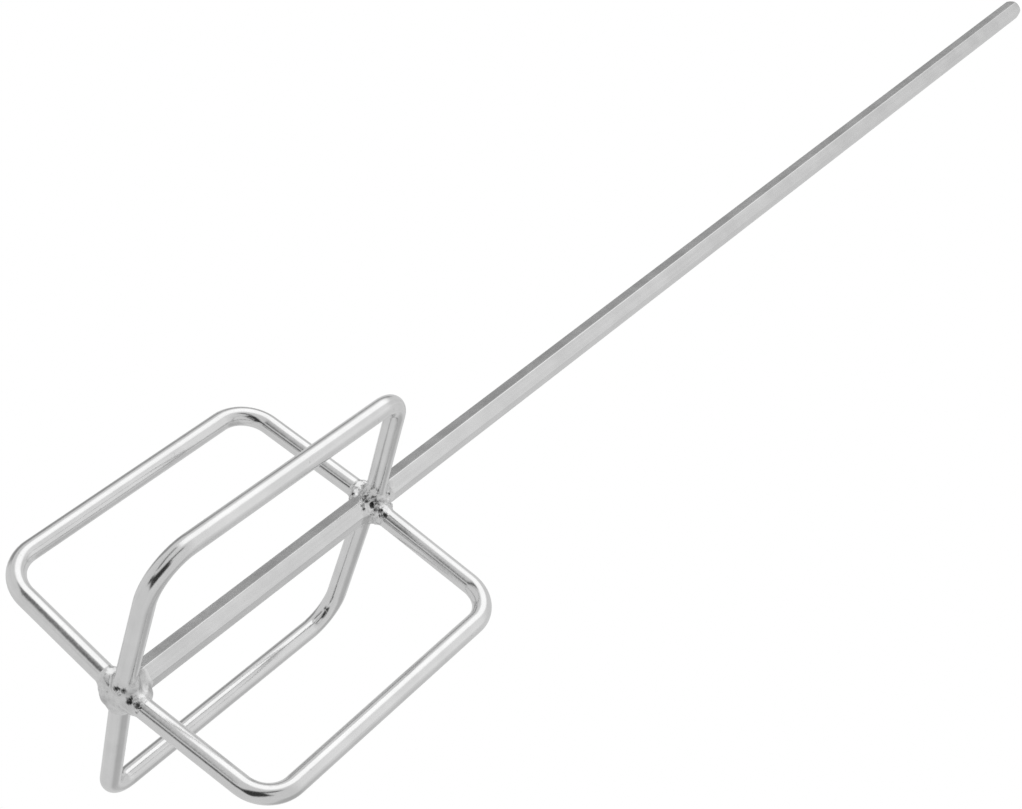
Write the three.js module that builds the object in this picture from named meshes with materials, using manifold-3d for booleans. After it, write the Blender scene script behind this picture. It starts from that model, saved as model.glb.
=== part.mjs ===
// Mortar mixing paddle: a plain hexagonal bar with an open cage of four bent round rods
// welded to its lower end. Millimetres. Z runs up the shaft toward the drill, and the
// origin is the centre of the shank's end face, so the paddle hangs down to z = -600.
import * as THREE from 'three';
import { mergeVertices } from 'three/addons/utils/BufferGeometryUtils.js';
import Module from 'manifold-3d';

// ---- driving dimensions ----
const OVERALL = 600;           // shank end to the lowest point of the cage
const HEX_AF = 8;              // hexagonal bar, across flats
const END_FLAT = 5.2;          // width of the flat left on the shank's rounded end
const END_ROUND = 2.2;         // how far the end's rounding runs down the shank
const JAW_ZONE = 45;           // length of shank the chuck jaws hold
const ROD_D = 6.5;             // cage rod diameter
const CAGE_R = 54.75;          // shaft axis to the centreline of a rod's upright
const BEND_R = 12.5;           // centreline radius of an even rod's bends
const LOW_JOINT = 3.25;        // height of the rods' centrelines at the lower joint
const LOW_CORNER = 6.1;        // height of the lower corner of a rod, before bending
const TOP_CORNER = 112.5;      // height of the upper corner of a rod, before bending
const TOP_JOINT = 114.5;       // height of the rods' centrelines at the upper joint
const GAP = 0.3;               // clearance between neighbouring pieces
const SHAFT_LIFT = 2.5;        // the shaft stops this far above the lowest point

const wasm = await Module();
wasm.setup();

const zinc = (name, color, roughness) => new THREE.MeshStandardMaterial(
  { name, color, roughness, metalness: 1 });
const MAT = {
  bar: zinc('zinc_plated_bar', 0xb9bbbc, 0.3),
  rod: zinc('zinc_plated_rod', 0xc4c6c7, 0.26),
  weld: zinc('plated_weld_metal', 0xa9abac, 0.42),
};

const group = new THREE.Group();
group.name = 'mortar_mixing_paddle';
function add(name, geometry, material) {
  const mesh = new THREE.Mesh(geometry, material);
  mesh.name = name;
  group.add(mesh);
}

// ---- solids for cutting ----
function toManifold(geometry) {
  const g = geometry.clone();
  g.deleteAttribute('normal');
  g.deleteAttribute('uv');
  const m = mergeVertices(g, 1e-4);
  return new wasm.Manifold(new wasm.Mesh({
    numProp: 3,
    vertProperties: new Float32Array(m.attributes.position.array),
    triVerts: new Uint32Array(m.index.array),
  }));
}
function toGeometry(manifold) {
  const mesh = manifold.getMesh();
  const g = new THREE.BufferGeometry();
  g.setAttribute('position', new THREE.BufferAttribute(mesh.vertProperties, 3));
  g.setIndex(new THREE.BufferAttribute(mesh.triVerts, 1));
  g.computeVertexNormals();
  return g;
}

// ---- hexagonal bar: corners face the rods at 90 and 270 degrees ----
function hexPrism(acrossFlats, rings) {
  const points = rings.map(([inset, z]) => {
    const r = inset === null ? 0 : (acrossFlats / 2 - inset) / Math.cos(Math.PI / 6);
    return new THREE.Vector2(r, z);
  });
  const g = new THREE.LatheGeometry(points, 6);
  g.rotateX(Math.PI / 2);
  return g;
}
const shaftBottom = SHAFT_LIFT - OVERALL;
const endRounding = [0, 1, 2, 3, 4].map((i) => {
  const a = Math.PI / 8 * i;
  return [(HEX_AF - END_FLAT) / 2 * (1 - Math.cos(a)), END_ROUND * (Math.sin(a) - 1)];
});
add('hex_shaft', hexPrism(HEX_AF, [
  [null, shaftBottom], [0.4, shaftBottom], [0, shaftBottom + 0.4],
  [0, -JAW_ZONE], ...endRounding, [null, 0]]), MAT.bar);

// ---- cage rods: arm, bend, upright, bend, arm ----
// The rods are bent and welded by hand, so each one is a little off the even shape: its
// turn in degrees, and in millimetres the reach, height and bend radius at its lower and
// upper corner and the height of its upper joint.
const EVEN = {
  turn: 0, lowReach: 0, topReach: 0, lowCorner: 0, topCorner: 0, topJoint: 0, lowBend: 0, topBend: 0,
};
const AS_WELDED = [
  {
    ...EVEN, turn: -0.8, lowReach: 0.3, topReach: 0.6, lowCorner: 0.7, topCorner: 0.5,
    topJoint: 0.7, lowBend: 0.5, topBend: -0.5,
  },
  {
    ...EVEN, lowReach: 0.2, topReach: -2.2, lowCorner: -0.4, topCorner: -0.6,
    topJoint: 1.3, lowBend: 2, topBend: -2.5,
  },
  {
    ...EVEN, turn: -1.8, lowReach: 1.1, lowCorner: -0.8, topCorner: -0.3,
    topJoint: -1.1, lowBend: -1.5, topBend: -1,
  },
  {
    ...EVEN, turn: -0.2, lowReach: 2.1, topReach: 1.9, lowCorner: 0.2, topCorner: -2,
    topJoint: -1.9, lowBend: -3.5, topBend: -0.5,
  },
];
const BEND_STEPS = 8;
const ROD_SIDES = 16;
const height = (h) => h - OVERALL;
const toward = (a, b) => b.clone().sub(a).normalize();

class RodPath extends THREE.Curve {
  constructor({ angle, off }, inner) {
    super();
    this.angle = angle;
    this.corners = [
      new THREE.Vector2(0, height(LOW_JOINT)),
      new THREE.Vector2(CAGE_R + off.lowReach, height(LOW_CORNER + off.lowCorner)),
      new THREE.Vector2(CAGE_R + off.topReach, height(TOP_CORNER + off.topCorner)),
      new THREE.Vector2(0, height(TOP_JOINT + off.topJoint)),
    ];
    const [lowJoint, lowCorner, topCorner, topJoint] = this.corners;
    this.stations = [
      lowJoint.clone().addScaledVector(toward(lowJoint, lowCorner), inner),
      ...this.bend(1, BEND_R + off.lowBend),
      ...this.bend(2, BEND_R + off.topBend),
      topJoint.clone().addScaledVector(toward(topJoint, topCorner), inner),
    ];
  }
  bend(k, radius) {
    const corner = this.corners[k];
    const back = toward(corner, this.corners[k - 1]);
    const ahead = toward(corner, this.corners[k + 1]);
    const half = Math.acos(back.dot(ahead)) / 2;
    const middle = back.clone().add(ahead).normalize();
    const centre = corner.clone().addScaledVector(middle, radius / Math.sin(half));
    const spoke = corner.clone().addScaledVector(back, radius / Math.tan(half)).sub(centre);
    return Array.from({ length: BEND_STEPS + 1 }, (_, i) => {
      const turn = (Math.PI - 2 * half) * i / BEND_STEPS;
      return spoke.clone().rotateAround(new THREE.Vector2(), turn).add(centre);
    });
  }
  // equal steps of t go from one station to the next, so a straight is one step
  getUtoTmapping(u) {
    return u;
  }
  getPoint(t) {
    const last = this.stations.length - 1;
    const at = Math.min(Math.max(t, 0), 1) * last;
    const i = Math.min(Math.floor(at), last - 1);
    const p = this.stations[i].clone().lerp(this.stations[i + 1], at - i);
    return new THREE.Vector3(p.x * Math.cos(this.angle), p.x * Math.sin(this.angle), p.y);
  }
}
function bentRod(rod, inner, diameter) {
  const path = new RodPath(rod, inner);
  const circle = new THREE.Shape();
  for (let i = 0; i < ROD_SIDES; i++) {
    const a = 2 * Math.PI * (i + 0.5) / ROD_SIDES;
    const draw = i ? 'lineTo' : 'moveTo';
    circle[draw](diameter / 2 * Math.cos(a), diameter / 2 * Math.sin(a));
  }
  circle.closePath();
  return new THREE.ExtrudeGeometry(circle, {
    steps: path.stations.length - 1, extrudePath: path, bevelEnabled: false, curveSegments: 1 });
}

const RODS = AS_WELDED.map((off, i) => ({
  off,
  angle: THREE.MathUtils.degToRad(90 * i + off.turn),
}));
const HEX_CORNER = HEX_AF / 2 / Math.cos(Math.PI / 6);
const END_GAP = 0.5;           // shaft to a rod's cut end, which leans with its arm
RODS.forEach((rod, i) => {
  // the first and third rods meet a flat of the bar, the other two meet a corner
  const inner = (i % 2 ? HEX_CORNER : HEX_AF / 2) + END_GAP;
  add(`cage_rod_${i + 1}`, bentRod(rod, inner, ROD_D), MAT.rod);
});

// ---- weld metal between neighbouring rods and the bar, at both joints ----
const hexClear = toManifold(hexPrism(HEX_AF + 2 * GAP, [
  [null, -OVERALL - 10], [0, -OVERALL - 10], [0, -JAW_ZONE], [null, -JAW_ZONE]]));
const rodsClear = RODS.map((rod) => toManifold(bentRod(rod, 1, ROD_D + 2 * GAP)));
// everything past a rod's own plane, so that a bead stays on its side of the rod
const BLOCK = 30;
function pastPlane({ angle }, side) {
  const block = new THREE.BoxGeometry(BLOCK, BLOCK, 2 * OVERALL);
  block.translate(0, side * (BLOCK - GAP) / 2, 0);
  block.rotateZ(angle);
  return toManifold(block);
}

const WELDS = {                // centre height, and half sizes along, across and up
  lower_weld: { z: LOW_JOINT + 0.25, out: 3.3, across: 6.3, up: 3.5 },
  upper_weld: { z: TOP_JOINT - 0.2, out: 3.4, across: 6.5, up: 4.1 },
};
const WELD_CENTRE = 5.9;
for (const [name, w] of Object.entries(WELDS)) {
  for (let i = 0; i < 4; i++) {
    const g = new THREE.SphereGeometry(1, 16, 10);
    g.rotateX(Math.PI / 2);
    g.scale(w.out, w.across, w.up);
    g.translate(WELD_CENTRE, 0, height(w.z));
    g.rotateZ(Math.PI / 4 + i * Math.PI / 2);
    let bead = toManifold(g).subtract(hexClear);
    bead = bead.subtract(pastPlane(RODS[i], -1)).subtract(pastPlane(RODS[(i + 1) % 4], 1));
    for (const clear of rodsClear) bead = bead.subtract(clear);
    add(`${name}_${i + 1}`, toGeometry(bead), MAT.weld);
  }
}

// ---- weld metal closing the shaft's lower end ----
const capTop = height(SHAFT_LIFT - GAP);
const capR = HEX_AF / 2;
const capProfile = [[0, height(0)], [1.4, height(0.12)], [2.6, height(0.45)], [3.5, height(1)],
  [capR, height(1.7)], [capR, capTop], [0, capTop]].map(([r, z]) => new THREE.Vector2(r, z));
const cap = new THREE.LatheGeometry(capProfile, 18);
cap.rotateX(Math.PI / 2);
add('end_weld', cap, MAT.weld);

export default group;
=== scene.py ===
"""Looks for the mortar mixing paddle: a zinc-plated hexagonal bar with four bent round rods
welded round its lower end. Lengths are in metres, in the frame's own axes: Z runs up the
shaft to the shank end, which is the origin, and the cage hangs at the lower end."""
import math

import bpy
import numpy as np
from mathutils import Matrix, Vector, noise

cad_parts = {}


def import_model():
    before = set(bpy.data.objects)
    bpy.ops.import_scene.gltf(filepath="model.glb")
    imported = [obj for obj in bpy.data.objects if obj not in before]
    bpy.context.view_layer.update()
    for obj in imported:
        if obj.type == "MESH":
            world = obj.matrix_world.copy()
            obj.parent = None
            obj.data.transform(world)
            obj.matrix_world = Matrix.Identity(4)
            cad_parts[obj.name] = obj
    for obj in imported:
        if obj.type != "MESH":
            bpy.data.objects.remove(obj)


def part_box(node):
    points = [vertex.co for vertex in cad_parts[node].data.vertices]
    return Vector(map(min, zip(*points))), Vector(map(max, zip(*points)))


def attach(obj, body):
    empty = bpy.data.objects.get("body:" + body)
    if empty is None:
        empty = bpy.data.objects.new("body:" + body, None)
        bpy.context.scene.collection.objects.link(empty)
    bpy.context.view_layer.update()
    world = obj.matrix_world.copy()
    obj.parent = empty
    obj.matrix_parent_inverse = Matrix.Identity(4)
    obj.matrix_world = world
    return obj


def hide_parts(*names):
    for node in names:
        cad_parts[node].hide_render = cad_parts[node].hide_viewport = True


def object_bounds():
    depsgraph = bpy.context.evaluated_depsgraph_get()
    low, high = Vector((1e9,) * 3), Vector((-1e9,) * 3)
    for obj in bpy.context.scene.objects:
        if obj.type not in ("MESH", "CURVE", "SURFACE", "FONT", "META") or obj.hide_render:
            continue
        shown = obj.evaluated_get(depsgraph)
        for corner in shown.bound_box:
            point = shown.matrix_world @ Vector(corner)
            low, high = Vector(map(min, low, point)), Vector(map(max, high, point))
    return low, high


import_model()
cad_low, cad_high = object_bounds()

MM = 0.001
BODY = "root"

# ---- sizes, as the frame has them ----
SHANK_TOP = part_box("hex_shaft")[1].z
SHAFT_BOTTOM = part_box("hex_shaft")[0].z
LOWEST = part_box("end_weld")[0].z
HEX_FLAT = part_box("hex_shaft")[1].x          # shaft axis to a flat of the hexagon
ROD_R = 3.25 * MM
CAGE_R = 54.75 * MM
BEND_R = 12.5 * MM
LOW_JOINT = 3.25 * MM                        # heights above the lowest point
LOW_CORNER = 6.1 * MM
TOP_CORNER = 112.5 * MM
TOP_JOINT = 114.5 * MM


# ---- mesh helpers ----
def new_piece(name, points, faces, material, replaced, sharp=40):
    """A mesh object that rides on the one body and stands for a CAD node."""
    mesh = bpy.data.meshes.new(name)
    mesh.from_pydata([tuple(p) for p in points], [], [tuple(f) for f in faces])
    mesh.validate()
    mesh.update()
    mesh.shade_smooth()
    mesh.set_sharp_from_angle(angle=math.radians(sharp))
    piece = bpy.data.objects.new(name, mesh)
    bpy.context.scene.collection.objects.link(piece)
    mesh.materials.append(material)
    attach(piece, BODY)
    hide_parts(replaced)
    return piece


def store(piece, name, values):
    """Keeps one vector per vertex, for the material to read."""
    layer = piece.data.attributes.new(name, "FLOAT_VECTOR", "POINT")
    layer.data.foreach_set("vector", np.asarray(values, np.float32).ravel())


def ring_faces(rings, sides):
    """Quads between successive rings of points, and a fan-free cap at each end."""
    faces = []
    for i in range(rings - 1):
        for j in range(sides):
            k = (j + 1) % sides
            faces.append((i * sides + j, i * sides + k, (i + 1) * sides + k, (i + 1) * sides + j))
    faces.append(tuple(reversed(range(sides))))
    faces.append(tuple(range((rings - 1) * sides, rings * sides)))
    return faces


# ---- materials ----
class Nodes:
    """Short names for building a node tree."""

    def __init__(self, tree):
        self.tree = tree
        tree.nodes.clear()

    def add(self, kind, inputs=(), **settings):
        node = self.tree.nodes.new(kind)
        for key, value in settings.items():
            setattr(node, key, value)
        for key, value in dict(inputs).items():
            self.put(node.inputs[key], value)
        return node

    def put(self, socket, value):
        if isinstance(value, bpy.types.NodeSocket):
            self.tree.links.new(value, socket)
        else:
            socket.default_value = value

    def noise(self, vector, scale, detail=3.0, rough=0.55):
        node = self.add("ShaderNodeTexNoise", {"Vector": vector, "Scale": scale, "Detail": detail,
                                               "Roughness": rough})
        return node.outputs["Fac"]

    def scaled(self, vector, factors):
        node = self.add("ShaderNodeVectorMath", {0: vector, 1: factors}, operation="MULTIPLY")
        return node.outputs[0]

    def remap(self, value, low, high, to_low=0.0, to_high=1.0):
        node = self.add("ShaderNodeMapRange", {"Value": value, "From Min": low, "From Max": high,
                                               "To Min": to_low, "To Max": to_high})
        return node.outputs["Result"]

    def math(self, operation, a, b):
        return self.add("ShaderNodeMath", {0: a, 1: b}, operation=operation).outputs[0]

    def mix(self, amount, a, b):
        node = self.add("ShaderNodeMix", data_type="RGBA")
        self.put(node.inputs["Factor"], amount)
        for socket, value in zip([s for s in node.inputs if s.type == "RGBA"], (a, b)):
            self.put(socket, value)
        return [s for s in node.outputs if s.type == "RGBA"][0]

    def bump(self, height, distance, strength, below=None):
        inputs = {"Height": height, "Distance": distance, "Strength": strength}
        if below is not None:
            inputs["Normal"] = below
        return self.add("ShaderNodeBump", inputs).outputs[0]


    def blend(self, a, b, share):
        """Two grey values added up, with share of the first one."""
        return self.math("ADD", self.math("MULTIPLY", a, share), self.math("MULTIPLY", b, 1.0 - share))


def grey(level, alpha=1.0):
    return (level, level, level, alpha)


# Noise scales are in features per metre, and bump distances are heights in metres.
DRAWN_LINES = (14.0, 1000.0, 1.0)       # along the bar, round it
SCRATCHES = (60.0, 4200.0, 1.0)
PLATE_CLOUD, PLATE_GRAIN, PLATE_FLECK = 95.0, 1500.0, 700.0
WELD_CLOUD, WELD_GRAIN, WELD_SPECK = 260.0, 2100.0, 1100.0


def plated_steel(name, bright, dull, rough, lines):
    """Zinc plate over drawn steel, between a bright and a dull grey. The sweep attribute holds
    the distance along the bar and the distance round it, so the drawing lines follow every bend."""
    material = bpy.data.materials.new(name)
    material.use_nodes = True
    n = Nodes(material.node_tree)
    sweep = n.add("ShaderNodeAttribute", attribute_name="sweep").outputs["Vector"]
    place = n.add("ShaderNodeTexCoord").outputs["Object"]
    drawn = n.noise(n.scaled(sweep, DRAWN_LINES), 1.0, 3.0, 0.5)
    scratch = n.noise(n.scaled(sweep, SCRATCHES), 1.0, 2.0, 0.5)
    cloud = n.noise(place, PLATE_CLOUD, 4.0, 0.6)
    grain = n.noise(place, PLATE_GRAIN, 3.0, 0.6)
    tone = n.blend(cloud, drawn, 0.6)
    color = n.mix(n.remap(tone, 0.38, 0.62), grey(dull), grey(bright))
    fleck = n.remap(n.noise(place, PLATE_FLECK, 2.0, 0.5), 0.70, 0.78)
    color = n.mix(n.math("MULTIPLY", fleck, 0.35), color, grey(dull * 0.62))
    shine = n.remap(n.blend(cloud, grain, 0.5), 0.35, 0.65, rough * 0.8, rough * 1.25)
    normal = n.bump(drawn, 0.00004, lines)
    normal = n.bump(scratch, 0.000005, lines, normal)
    normal = n.bump(cloud, 0.0004, 0.2, normal)
    normal = n.bump(grain, 0.000015, 0.3, normal)
    shader = n.add("ShaderNodeBsdfPrincipled", {"Base Color": color, "Metallic": 1.0,
                                                "Roughness": shine, "Normal": normal})
    n.add("ShaderNodeOutputMaterial", {"Surface": shader.outputs[0]})
    return material


def weld_metal(name):
    """Plated weld metal: like the rods at its thin edges, blotched and rougher where it is
    thick, with painted shade in its pits. The weld attribute holds the pits' painted shade and the
    thickness."""
    material = bpy.data.materials.new(name)
    material.use_nodes = True
    n = Nodes(material.node_tree)
    place = n.add("ShaderNodeTexCoord").outputs["Object"]
    weld = n.add("ShaderNodeAttribute", attribute_name="weld").outputs["Vector"]
    split = n.add("ShaderNodeSeparateXYZ", {0: weld})
    pit, thick = split.outputs[0], split.outputs[1]
    cloud = n.noise(place, WELD_CLOUD, 4.0, 0.6)
    grain = n.noise(place, WELD_GRAIN, 3.0, 0.6)
    color = n.mix(n.remap(cloud, 0.38, 0.62), grey(0.60), grey(0.86))
    color = n.mix(thick, grey(0.84), color)
    speck = n.remap(n.noise(place, WELD_SPECK, 2.0, 0.5), 0.64, 0.74)
    color = n.mix(n.math("MULTIPLY", speck, n.remap(thick, 0.0, 1.0, 0.1, 0.6)), color, grey(0.25))
    # painted shade: each pit and a rim round it are painted near black
    color = n.mix(pit, color, grey(0.05))
    rough = n.math("ADD", n.remap(cloud, 0.3, 0.7, 0.16, 0.20), n.remap(thick, 0.0, 1.0, 0.0, 0.16))
    rough = n.math("ADD", rough, n.math("MULTIPLY", pit, 0.3))
    normal = n.bump(cloud, 0.0003, 0.4)
    normal = n.bump(grain, 0.00003, 0.4, normal)
    shader = n.add("ShaderNodeBsdfPrincipled", {"Base Color": color, "Metallic": 1.0,
                                                "Roughness": rough, "Normal": normal})
    n.add("ShaderNodeOutputMaterial", {"Surface": shader.outputs[0]})
    return material


BAR = plated_steel("zinc_plated_bar", bright=0.84, dull=0.74, rough=0.24, lines=0.3)
ROD = plated_steel("zinc_plated_rod", bright=0.88, dull=0.80, rough=0.16, lines=0.2)
WELD = weld_metal("plated_weld_metal")


# ---- hexagonal shaft ----
EDGE_R = 0.45 * MM           # rounding of the bar's long edges
EDGE_STEPS = 4
FLAT_STEPS = 6
END_R = 2.6 * MM             # flat left on the shank's turned end
END_BEVEL = 2.2 * MM         # how far the end's rounding runs down the shank
END_STEPS = 10
FOOT_BEVEL = 0.4 * MM        # bevel at the bar's lower end, inside the weld
SHAFT_RINGS = 120


def hexagon(reach):
    """The bar's outline with rounded corners, turned down to a circle of radius reach."""
    corner = (HEX_FLAT - EDGE_R) / math.cos(math.pi / 6)
    points = []
    for side in range(6):
        at = math.pi / 6 + side * math.pi / 3
        middle = Vector((math.cos(at), math.sin(at))) * corner
        for i in range(EDGE_STEPS + 1):
            a = at + math.pi / 3 * (i / EDGE_STEPS - 0.5)
            points.append(middle + Vector((math.cos(a), math.sin(a))) * EDGE_R)
        turn = Matrix.Rotation(math.pi / 3, 2)
        start, end = points[-1], turn @ points[-EDGE_STEPS - 1]
        points += [start.lerp(end, i / FLAT_STEPS) for i in range(1, FLAT_STEPS)]
    return [p * min(1.0, reach / p.length) for p in points]


def shaft():
    """The bar as rings of points, each a reach and a height."""
    widest = HEX_FLAT / math.cos(math.pi / 6)
    straight = np.linspace(SHAFT_BOTTOM + FOOT_BEVEL, SHANK_TOP - END_BEVEL, SHAFT_RINGS)
    rings = [(HEX_FLAT, SHAFT_BOTTOM)] + [(widest, z) for z in straight]
    for i in range(1, END_STEPS + 1):
        a = math.pi / 2 * i / END_STEPS
        reach = END_R + (widest - END_R) * math.cos(a)
        rings.append((reach, SHANK_TOP - END_BEVEL * (1 - math.sin(a))))
    points, sweep = [], []
    for reach, z in rings:
        outline = hexagon(reach)
        around = 0.0
        for j, p in enumerate(outline):
            if j:
                around += (p - outline[j - 1]).length
            points.append((p.x, p.y, z))
            sweep.append((z - SHAFT_BOTTOM, around, 0.0))
    faces = ring_faces(len(rings), len(outline))
    piece = new_piece("shaft_bar", points, faces, BAR, "hex_shaft", sharp=25)
    store(piece, "sweep", sweep)


# ---- cage rods ----
# how far each rod is off the even shape, as in the frame: its turn in degrees, then in
# millimetres the reach, height and bend radius at its corners and its upper joint's height
EVEN = {"turn": 0, "low_reach": 0, "top_reach": 0, "low_corner": 0, "top_corner": 0,
        "top_joint": 0, "low_bend": 0, "top_bend": 0}
AS_WELDED = [
    {**EVEN, "turn": -0.8, "low_reach": 0.3, "top_reach": 0.6, "low_corner": 0.7,
     "top_corner": 0.5, "top_joint": 0.7, "low_bend": 0.5, "top_bend": -0.5},
    {**EVEN, "low_reach": 0.2, "top_reach": -2.2, "low_corner": -0.4,
     "top_corner": -0.6, "top_joint": 1.3, "low_bend": 2, "top_bend": -2.5},
    {**EVEN, "turn": -1.8, "low_reach": 1.1, "low_corner": -0.8,
     "top_corner": -0.3, "top_joint": -1.1, "low_bend": -1.5, "top_bend": -1},
    {**EVEN, "turn": -0.2, "low_reach": 2.1, "top_reach": 1.9, "low_corner": 0.2,
     "top_corner": -2, "top_joint": -1.9, "low_bend": -3.5, "top_bend": -0.5},
]
ROD_SIDES = 40
ROD_STEP = 2.0 * MM
BEND_STEPS = 28
BEND_FLAT = 0.05             # how much a bend's section flattens
ARM_START = 1.5 * MM         # from the shaft's axis, so that an arm ends inside the bar


def rod_corners(off):
    """The rod's centreline before bending, as (reach, height) in its own plane."""
    return [
        Vector((0.0, LOWEST + LOW_JOINT)),
        Vector((CAGE_R + off["low_reach"] * MM, LOWEST + LOW_CORNER + off["low_corner"] * MM)),
        Vector((CAGE_R + off["top_reach"] * MM, LOWEST + TOP_CORNER + off["top_corner"] * MM)),
        Vector((0.0, LOWEST + TOP_JOINT + off["top_joint"] * MM)),
    ]


def straight_run(a, b):
    """Stations from a to b: place, direction and no bend."""
    count = max(2, round((b - a).length / ROD_STEP))
    return [(a.lerp(b, i / count), (b - a).normalized(), 0.0) for i in range(count + 1)]


def bend(before, corner, after, radius):
    """Stations round a bend: place, direction and how far into the bend, from 0 to 1."""
    back, ahead = (before - corner).normalized(), (after - corner).normalized()
    half = back.angle(ahead) / 2
    centre = corner + (back + ahead).normalized() * (radius / math.sin(half))
    first = corner + back * (radius / math.tan(half))
    spoke = first - centre
    out = []
    for i in range(BEND_STEPS + 1):
        turn = (math.pi - 2 * half) * i / BEND_STEPS
        spin = Matrix.Rotation(turn, 2)
        out.append((centre + spin @ spoke, spin @ -back, math.sin(math.pi * i / BEND_STEPS)))
    return out


def rod_stations(off):
    """Lower arm, bend, upright, bend and upper arm, with no station twice."""
    low_joint, low_corner, top_corner, top_joint = rod_corners(off)
    start = low_joint + (low_corner - low_joint).normalized() * ARM_START
    end = top_joint + (top_corner - top_joint).normalized() * ARM_START
    lower = bend(low_joint, low_corner, top_corner, BEND_R + off["low_bend"] * MM)
    upper = bend(low_corner, top_corner, top_joint, BEND_R + off["top_bend"] * MM)
    return (straight_run(start, lower[0][0])[:-1] + lower
            + straight_run(lower[-1][0], upper[0][0])[1:-1] + upper
            + straight_run(upper[-1][0], end)[1:])


def rod(number, off):
    angle = math.radians(90 * (number - 1) + off["turn"])
    out = Vector((math.cos(angle), math.sin(angle), 0.0))
    across = Vector((-out.y, out.x, 0.0))
    stations = rod_stations(off)
    points, sweep = [], []
    along = 0.0
    for i, (place, way, bent) in enumerate(stations):
        if i:
            along += (place - stations[i - 1][0]).length
        centre = out * place.x + Vector((0, 0, place.y))
        away = out * way.y - Vector((0, 0, way.x))       # to the outside of the bend
        flat = 1.0 - BEND_FLAT * bent
        for j in range(ROD_SIDES):
            a = 2 * math.pi * j / ROD_SIDES
            p = centre + away * (math.cos(a) * ROD_R * flat) + across * (math.sin(a) * ROD_R)
            points.append(p)
            sweep.append((along, a * ROD_R, number))
    faces = ring_faces(len(stations), ROD_SIDES)
    piece = new_piece(f"bent_rod_{number}", points, faces, ROD, f"cage_rod_{number}")
    store(piece, "sweep", sweep)


# ---- weld metal, grown from the distance to the rods and the bar, all in millimetres ----
GRID = 0.3
REACH = 13.0                 # the grid's half size across the axis
TALL = 11.4                  # and along it, where the fill on the bar has run out
RIM = 1.0                    # kept clear inside the grid's reach
NEAR = 1.5                   # how close to the surface the noise is worked out
ROOT = 1.3                   # how deep a bead reaches into the rods and the bar
OVERLAP = 0.5                # how far neighbouring beads run into each other
LAP = 0.03                   # how far a bead stands over the one it overlaps
END_WELD_R = 4.0
END_WELD_DROP = 0.5          # the end weld's top, below the middle of the joint
HEART_R = 4.0                # ripples are at their full height this near the middle
COVER = 0.1                  # fill thinner than this leaves the rod bare
SKIN = 0.12                  # what a pit leaves over the rod or bar beneath it
STAIN = 0.5                  # how far that skin runs on round a pit
PIT_SHADE_FADE = 0.45              # how far the painted shade of a pit runs out over the metal
PIT_RAGGED = 0.4             # how uneven a pit's edge is, as a share of its radius
THICK = 0.9                  # fill at which the weld's own look takes over from the rod's
BEAD_SHARP = 60


def surface_net(value, corner, step):
    """Points and quads of the surface where a 3-D array of values changes sign."""
    inside = value < 0
    cells = tuple(s - 1 for s in value.shape)
    total, count = np.zeros(cells + (3,)), np.zeros(cells)
    quads = []
    grid = np.stack(np.meshgrid(*(np.arange(s) for s in value.shape), indexing="ij"), -1)
    for axis in range(3):
        low = tuple(slice(0, -1) if a == axis else slice(None) for a in range(3))
        high = tuple(slice(1, None) if a == axis else slice(None) for a in range(3))
        cross = inside[low] != inside[high]
        gap = np.where(cross, value[low] - value[high], 1.0)
        point = grid[low].astype(float)
        point[..., axis] += np.where(cross, value[low] / gap, 0.0)
        others = [a for a in range(3) if a != axis]
        for d in ((0, 0), (0, 1), (1, 1), (1, 0)):
            pick = [slice(None)] * 3
            for a, shift in zip(others, d):
                pick[a] = slice(shift, cells[a] + shift)
            pick = tuple(pick)
            total += point[pick] * cross[pick][..., None]
            count += cross[pick]
        at = np.argwhere(cross)
        inner = np.all([(at[:, a] > 0) & (at[:, a] < cells[a]) for a in others], axis=0)
        at = at[inner]
        ring = []
        for d in ((-1, -1), (0, -1), (0, 0), (-1, 0)):
            cell = at.copy()
            for a, shift in zip(others, d):
                cell[:, a] += shift
            ring.append(cell)
        flip = inside[tuple(at.T)] != (axis == 1)
        order = [np.where(flip[:, None], ring[k], ring[(4 - k) % 4]) for k in range(4)]
        quads.append(np.stack(order, 1))
    used = count > 0
    index = np.full(cells, -1)
    index[used] = np.arange(used.sum())
    points = total[used] / count[used][:, None] * step + corner
    quads = np.concatenate(quads)
    return points, index[quads[..., 0], quads[..., 1], quads[..., 2]]


def hex_distance(p):
    """Distance outside the bar, and the way to its nearest flat."""
    turns = np.arange(6) * math.pi / 3
    normals = np.stack([np.cos(turns), np.sin(turns), np.zeros(6)], -1)
    reach = p @ normals.T
    return reach.max(-1) - HEX_FLAT / MM, normals[reach.argmax(-1)]


def arm_distance(p, angle, way):
    """Distance outside a rod's arm that starts on the axis and runs along way."""
    d = np.array([math.cos(angle) * way.x, math.sin(angle) * way.x, way.y])
    spoke = p - np.maximum(p @ d, 0.0)[..., None] * d
    length = np.linalg.norm(spoke, axis=-1)
    return length - ROD_R / MM, spoke / np.maximum(length, 1e-6)[..., None]


def fillet(first, second, reach):
    """Two shapes as one, with their corner filled but no swelling where they run together."""
    (a, way_a), (b, way_b) = first, second
    corner = np.clip(1.0 - np.sum(way_a * way_b, -1), 0.0, 1.0)
    share = np.clip(1.0 - np.abs(a - b) / reach, 0.0, 1.0)
    return np.minimum(a, b) - corner * share ** 2 * reach / 4, np.where((a < b)[..., None], way_a, way_b)


def soften(values, times):
    """Evens an array out with its neighbours, a cell at a time."""
    for _ in range(times):
        for axis in range(3):
            ahead, back = np.roll(values, 1, axis), np.roll(values, -1, axis)
            values = values / 2 + (ahead + back) / 4
    return values


def ripple(p, size, seed):
    """Smooth noise for every point that matters, between about -1 and 1."""
    flat = p.reshape(-1, 3) / size + seed
    return np.array([noise.noise(Vector(v)) for v in flat]).reshape(p.shape[:-1])


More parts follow.
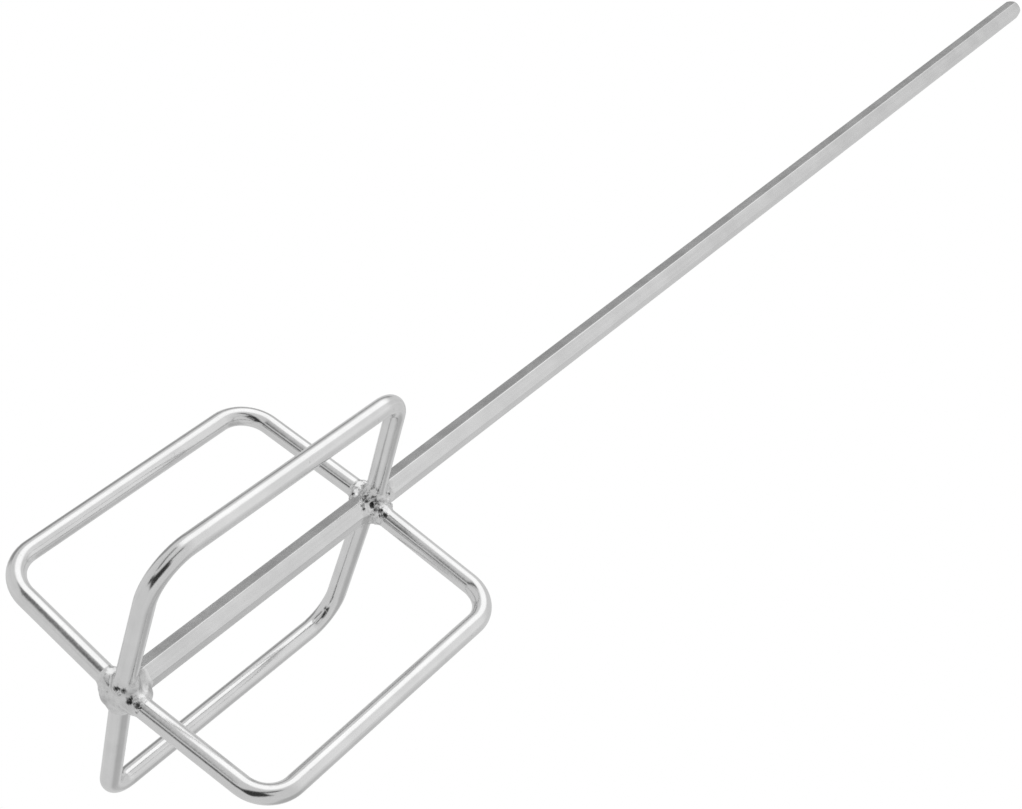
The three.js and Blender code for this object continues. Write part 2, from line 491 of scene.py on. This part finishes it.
def joint_field(joint):
    """Distances over a grid round a joint: to the bare rods and bar, and to the weld metal
    grown on them, with how pitted that is."""
    ticks = np.arange(-REACH, REACH + GRID / 2, GRID)
    up = np.arange(-TALL, TALL + GRID / 2, GRID)
    p = np.stack(np.meshgrid(ticks, ticks, up, indexing="ij"), -1)
    arms = []
    for i, off in enumerate(AS_WELDED):
        corners = rod_corners(off)
        start, corner = (corners[0], corners[1]) if joint["low"] else (corners[3], corners[2])
        lift = np.array([0, 0, (start.y - joint["middle"]) / MM])
        angle = math.radians(90 * i + off["turn"])
        arms.append(arm_distance(p - lift, angle, (corner - start).normalized()))
    bar, bar_way = hex_distance(p)
    if joint["low"]:
        bar = np.maximum(bar, -p[..., 2])
    solid = np.min([arm for arm, _ in arms] + [bar], axis=0)
    grown = np.full(solid.shape, np.inf)
    for i, (between, at_bar) in enumerate(zip(joint["between"], joint["at_bar"])):
        pair = fillet(arms[i], arms[(i + 1) % 4], between)
        grown = np.minimum(grown, fillet(pair, (bar, bar_way), at_bar)[0])
    grown = soften(grown, 2)
    for x, y, z, radius, blend in joint["lumps"]:
        away = np.linalg.norm(p - np.array([x, y, z]), axis=-1) - radius
        share = np.clip(1.0 - np.abs(grown - away) / blend, 0.0, 1.0)
        grown = np.minimum(grown, away) - share ** 2 * blend / 4
    near = np.abs(grown) < NEAR
    weight = np.clip(solid[near] / THICK, 0.0, 1.0)
    heart = np.clip(1.6 - np.linalg.norm(p[near], axis=-1) / HEART_R, 0.0, 1.0)
    weight = np.maximum(weight, heart)
    for height, size, seed in joint["ripples"]:
        grown[near] += height * weight * ripple(p[near], size, seed)
    grown += COVER
    pit = np.zeros(grown.shape)
    for x, y, z, radius in joint["pits"]:
        away = np.linalg.norm(p - np.array([x, y, z]), axis=-1) - radius
        close = away < NEAR
        away[close] += PIT_RAGGED * radius * ripple(p[close], 0.9, x)
        stain = np.maximum(solid - SKIN, away - STAIN)
        grown = np.minimum(np.maximum(grown, -away), stain)
        # the pit mask sets the painted shade in and round each pit
        pit = np.maximum(pit, np.clip(1.0 - away / PIT_SHADE_FADE, 0.0, 1.0))
    for x, y, z, radius in joint["drops"]:
        away = np.linalg.norm(p - np.array([x, y, z]), axis=-1) - radius
        grown = np.minimum(grown, away)
        pit = np.where(away < 0.3, 0.0, pit)
    return p, solid, grown, pit


def weld_piece(name, field, keep, lift, middle, node):
    """One bead: the part of the field where keep is negative, stood proud by lift. Its normals
    come from the whole field, so neighbouring beads shade as one."""
    p, solid, grown, pit = field
    rim = np.linalg.norm(p, axis=-1) - REACH + RIM
    value = np.maximum.reduce([grown - lift, -(solid + ROOT), rim, keep])
    value[[0, -1]] = value[:, [0, -1]] = value[:, :, [0, -1]] = 1.0
    points, quads = surface_net(value, p[0, 0, 0], GRID)
    at = np.clip(np.rint((points - p[0, 0, 0]) / GRID).astype(int), 0, np.array(pit.shape) - 1)
    at = tuple(at.T)
    placed = points * MM + np.array([0, 0, middle])
    piece = new_piece(name, placed, quads, WELD, node, BEAD_SHARP)
    thick = np.clip(solid[at] / THICK, 0.0, 1.0)
    # the first value is the painted shade of the pits, the second the thickness
    store(piece, "weld", np.stack([pit[at], thick, np.zeros(len(thick))], -1))
    slope = np.stack([g[at] for g in np.gradient(grown)], -1)
    slope /= np.maximum(np.linalg.norm(slope, axis=1), 1e-6)[:, None]
    piece.data.normals_split_custom_set_from_vertices([tuple(v) for v in slope])


# How each joint was welded. between and at_bar say how far the metal fills the four corners
# between neighbouring rods and against the bar; ripples are height, size and seed; lumps, pits
# and drops are x, y, height from the joint's middle and radius, and for a lump how far it blends.
LOWER = {
    "low": True,
    "middle": LOWEST + LOW_JOINT,
    "between": (3.0, 5.0, 6.0, 6.5),
    "at_bar": (5.0, 6.0, 6.0, 5.0),
    "ripples": [(0.16, 2.2, 3.1), (0.08, 0.9, 7.7)],
    "lumps": [(4.0, -5.0, -0.8, 2.3, 4.0), (-5.2, 0.4, 4.2, 1.4, 3.0)],
    "pits": [(-0.5, 4.9, -3.9, 0.95), (0.4, 4.1, -3.9, 0.5), (-2.6, 5.3, -3.1, 0.8),
             (-4.9, 3.2, -2.8, 0.9), (-3.9, 3.6, -3.2, 0.45), (-7.8, 3.3, -2.0, 0.5),
             (2.6, 0.4, -3.8, 0.2), (-8.5, 1.4, -3.3, 0.2)],
    "drops": [(-1.2, 3.5, -3.5, 0.7)],
}
UPPER = {
    "low": False,
    "middle": LOWEST + TOP_JOINT,
    "between": (3.0, 4.0, 3.5, 4.0),
    "at_bar": (5.0, 6.0, 6.0, 5.0),
    "ripples": [(0.6, 2.0, 3.1), (0.3, 0.9, 7.7)],
    "lumps": [],
    "pits": [(-2.8, 3.6, -3.6, 0.75), (-6.2, 3.8, -3.1, 0.65), (-8.3, 3.3, -3.1, 0.6),
             (-4.6, 3.4, -4.0, 0.4), (4.8, 2.8, -4.3, 0.3), (-3.6, 3.9, 4.3, 0.2),
             (-1.4, 4.8, -4.9, 0.4), (-2.4, 3.7, -7.0, 0.3)],
    "drops": [(1.2, 5.2, -5.0, 0.7), (-1.4, 4.3, -6.6, 0.6)],
}


def welds():
    """Four beads at each joint, each between one rod's plane and the next, and the end weld."""
    for label, joint in (("lower", LOWER), ("upper", UPPER)):
        field = joint_field(joint)
        x, y, z = np.moveaxis(field[0], -1, 0)
        for i in range(4):
            a, b = math.pi / 2 * i, math.pi / 2 * (i + 1)
            from_first = y * math.cos(a) - x * math.sin(a)
            from_second = x * math.sin(b) - y * math.cos(b)
            keep = np.maximum(-from_first, -from_second) - OVERLAP
            weld_piece(f"{label}_weld_bead_{i + 1}", field, keep, LAP * (i % 2), joint["middle"],
                       f"{label}_weld_{i + 1}")
        if joint["low"]:
            keep = np.maximum(np.hypot(x, y) - END_WELD_R, z + END_WELD_DROP)
            weld_piece("end_weld_cap", field, keep, 2 * LAP, joint["middle"], "end_weld")


shaft()
for index, offsets in enumerate(AS_WELDED):
    rod(index + 1, offsets)
welds()


# ---- floor, light and camera ----
def plain(name, level):
    material = bpy.data.materials.new(name)
    material.use_nodes = True
    shader = material.node_tree.nodes["Principled BSDF"]
    shader.inputs["Base Color"].default_value = grey(level)
    shader.inputs["Roughness"].default_value = 0.9
    return material


FLOOR_DROP = 0.36            # floor below the cage
FLOOR_HALF = 40.0            # half its width, so that its edge is far off


def floor():
    z = cad_low.z - FLOOR_DROP
    corners = [(x * FLOOR_HALF, y * FLOOR_HALF, z) for x, y in ((-1, -1), (1, -1), (1, 1), (-1, 1))]
    mesh = bpy.data.meshes.new("floor")
    mesh.from_pydata(corners, [], [(0, 1, 2, 3)])
    mesh.materials.append(plain("pale_floor", 0.86))
    plane = bpy.data.objects.new("floor", mesh)
    bpy.context.scene.collection.objects.link(plane)
    plane.visible_glossy = False


def direction(azimuth, elevation):
    a, e = math.radians(azimuth), math.radians(elevation)
    return Vector((math.cos(a) * math.cos(e), math.sin(a) * math.cos(e), math.sin(e)))


# soft boxes and black flags round the object: azimuth, elevation, width and height in
# degrees, softness of the edge as a slope, and brightness; a later card covers an earlier one
CARDS = {
    "wide_box": (138, 38, 60, 26, 0.16, 0.80),
    "upper_flag": (6, 47, 15, 40, 0.08, 0.28),
    "side_flag": (-7, 18, 38, 32, 0.08, 0.30),
    "key_box": (68, 33, 44, 50, 0.14, 1.14),
    "strip_flag": (60.5, -22, 10.5, 50, 0.06, 0.07),
    "foot_flag": (58, -67, 22, 16, 0.08, 0.06),
    "bend_flag": (122, -50, 38, 56, 0.08, 0.04),
    "edge_flag": (108, -8, 10, 34, 0.05, 0.10),
    "low_flag": (-136, 10, 54, 46, 0.16, 0.46),
}
SURROUND = 0.66              # brightness of the studio between the cards


def world():
    """White for the camera and the floor, and a studio of cards for the metal to reflect."""
    studio = bpy.data.worlds.new("studio")
    studio.use_nodes = True
    bpy.context.scene.world = studio
    n = Nodes(studio.node_tree)
    way = n.add("ShaderNodeTexCoord").outputs["Generated"]

    def dot(v):
        node = n.add("ShaderNodeVectorMath", {0: way, 1: tuple(v)}, operation="DOT_PRODUCT")
        return node.outputs["Value"]

    seen = grey(SURROUND)
    for azimuth, elevation, wide, tall, soft, level in CARDS.values():
        ahead = direction(azimuth, elevation)
        side = Vector((0, 0, 1)).cross(ahead).normalized()
        upward = ahead.cross(side)
        front = n.math("MAXIMUM", dot(ahead), 0.001)
        masks = []
        for axis, size in ((side, wide), (upward, tall)):
            edge = math.tan(math.radians(size / 2))
            slope = n.math("ABSOLUTE", n.math("DIVIDE", dot(axis), front), 0.0)
            masks.append(n.remap(slope, edge + soft, edge - soft))
        mask = n.math("MULTIPLY", masks[0], masks[1])
        mask = n.math("MULTIPLY", mask, n.remap(dot(ahead), 0.0, 0.05))
        seen = n.mix(mask, seen, grey(level))
    reflected = n.add("ShaderNodeBackground", {"Color": seen, "Strength": 1.0}).outputs[0]
    white = n.add("ShaderNodeBackground", {"Color": (1, 1, 1, 1), "Strength": 1.0}).outputs[0]
    ray = n.add("ShaderNodeLightPath")
    plain_white = n.math("MAXIMUM", ray.outputs["Is Camera Ray"], ray.outputs["Is Diffuse Ray"])
    mixed = n.add("ShaderNodeMixShader", {0: plain_white, 1: reflected, 2: white}).outputs[0]
    n.add("ShaderNodeOutputWorld", {"Surface": mixed})


def lamp(name, azimuth, elevation, distance, size, power):
    """A round area light in watts that faces the object's middle, and isn't itself reflected."""
    light = bpy.data.lights.new(name, "AREA")
    light.shape = "DISK"
    light.size = size
    light.energy = power
    lamp_object = bpy.data.objects.new(name, light)
    centre = (cad_low + cad_high) / 2
    way = direction(azimuth, elevation)
    lamp_object.location = centre + way * distance
    lamp_object.rotation_mode = "QUATERNION"
    lamp_object.rotation_quaternion = way.to_track_quat("Z", "Y")
    lamp_object.visible_glossy = False
    bpy.context.scene.collection.objects.link(lamp_object)


LENS = 70.2                                            # for a sensor 36 mm wide
CAMERA_PLACE = Vector((-0.2005, 0.4837, -0.2701))      # from the shank axis, above the lowest point
CAMERA_RIGHT = Vector((-0.76285, 0.25175, 0.59555))
CAMERA_UP = Vector((0.58082, 0.67153, 0.46011))


def camera():
    data = bpy.data.cameras.new("camera")
    data.sensor_width = 36.0
    data.lens = LENS
    data.clip_start, data.clip_end = 0.01, 100.0
    view = bpy.data.objects.new("camera", data)
    right = CAMERA_RIGHT.normalized()
    back = right.cross(CAMERA_UP).normalized()
    upward = back.cross(right)
    turn = Matrix((right, upward, back)).transposed().to_4x4()
    place = CAMERA_PLACE + Vector((0, 0, LOWEST))
    view.matrix_world = Matrix.Translation(place) @ turn
    bpy.context.scene.collection.objects.link(view)
    bpy.context.scene.camera = view


floor()
world()
lamp("soft_key", azimuth=60, elevation=60, distance=2.2, size=1.4, power=22)
lamp("soft_fill", azimuth=-140, elevation=35, distance=2.6, size=1.8, power=10)
camera()
bpy.context.scene.view_settings.view_transform = "Standard"
bpy.context.scene.view_settings.look = "None"
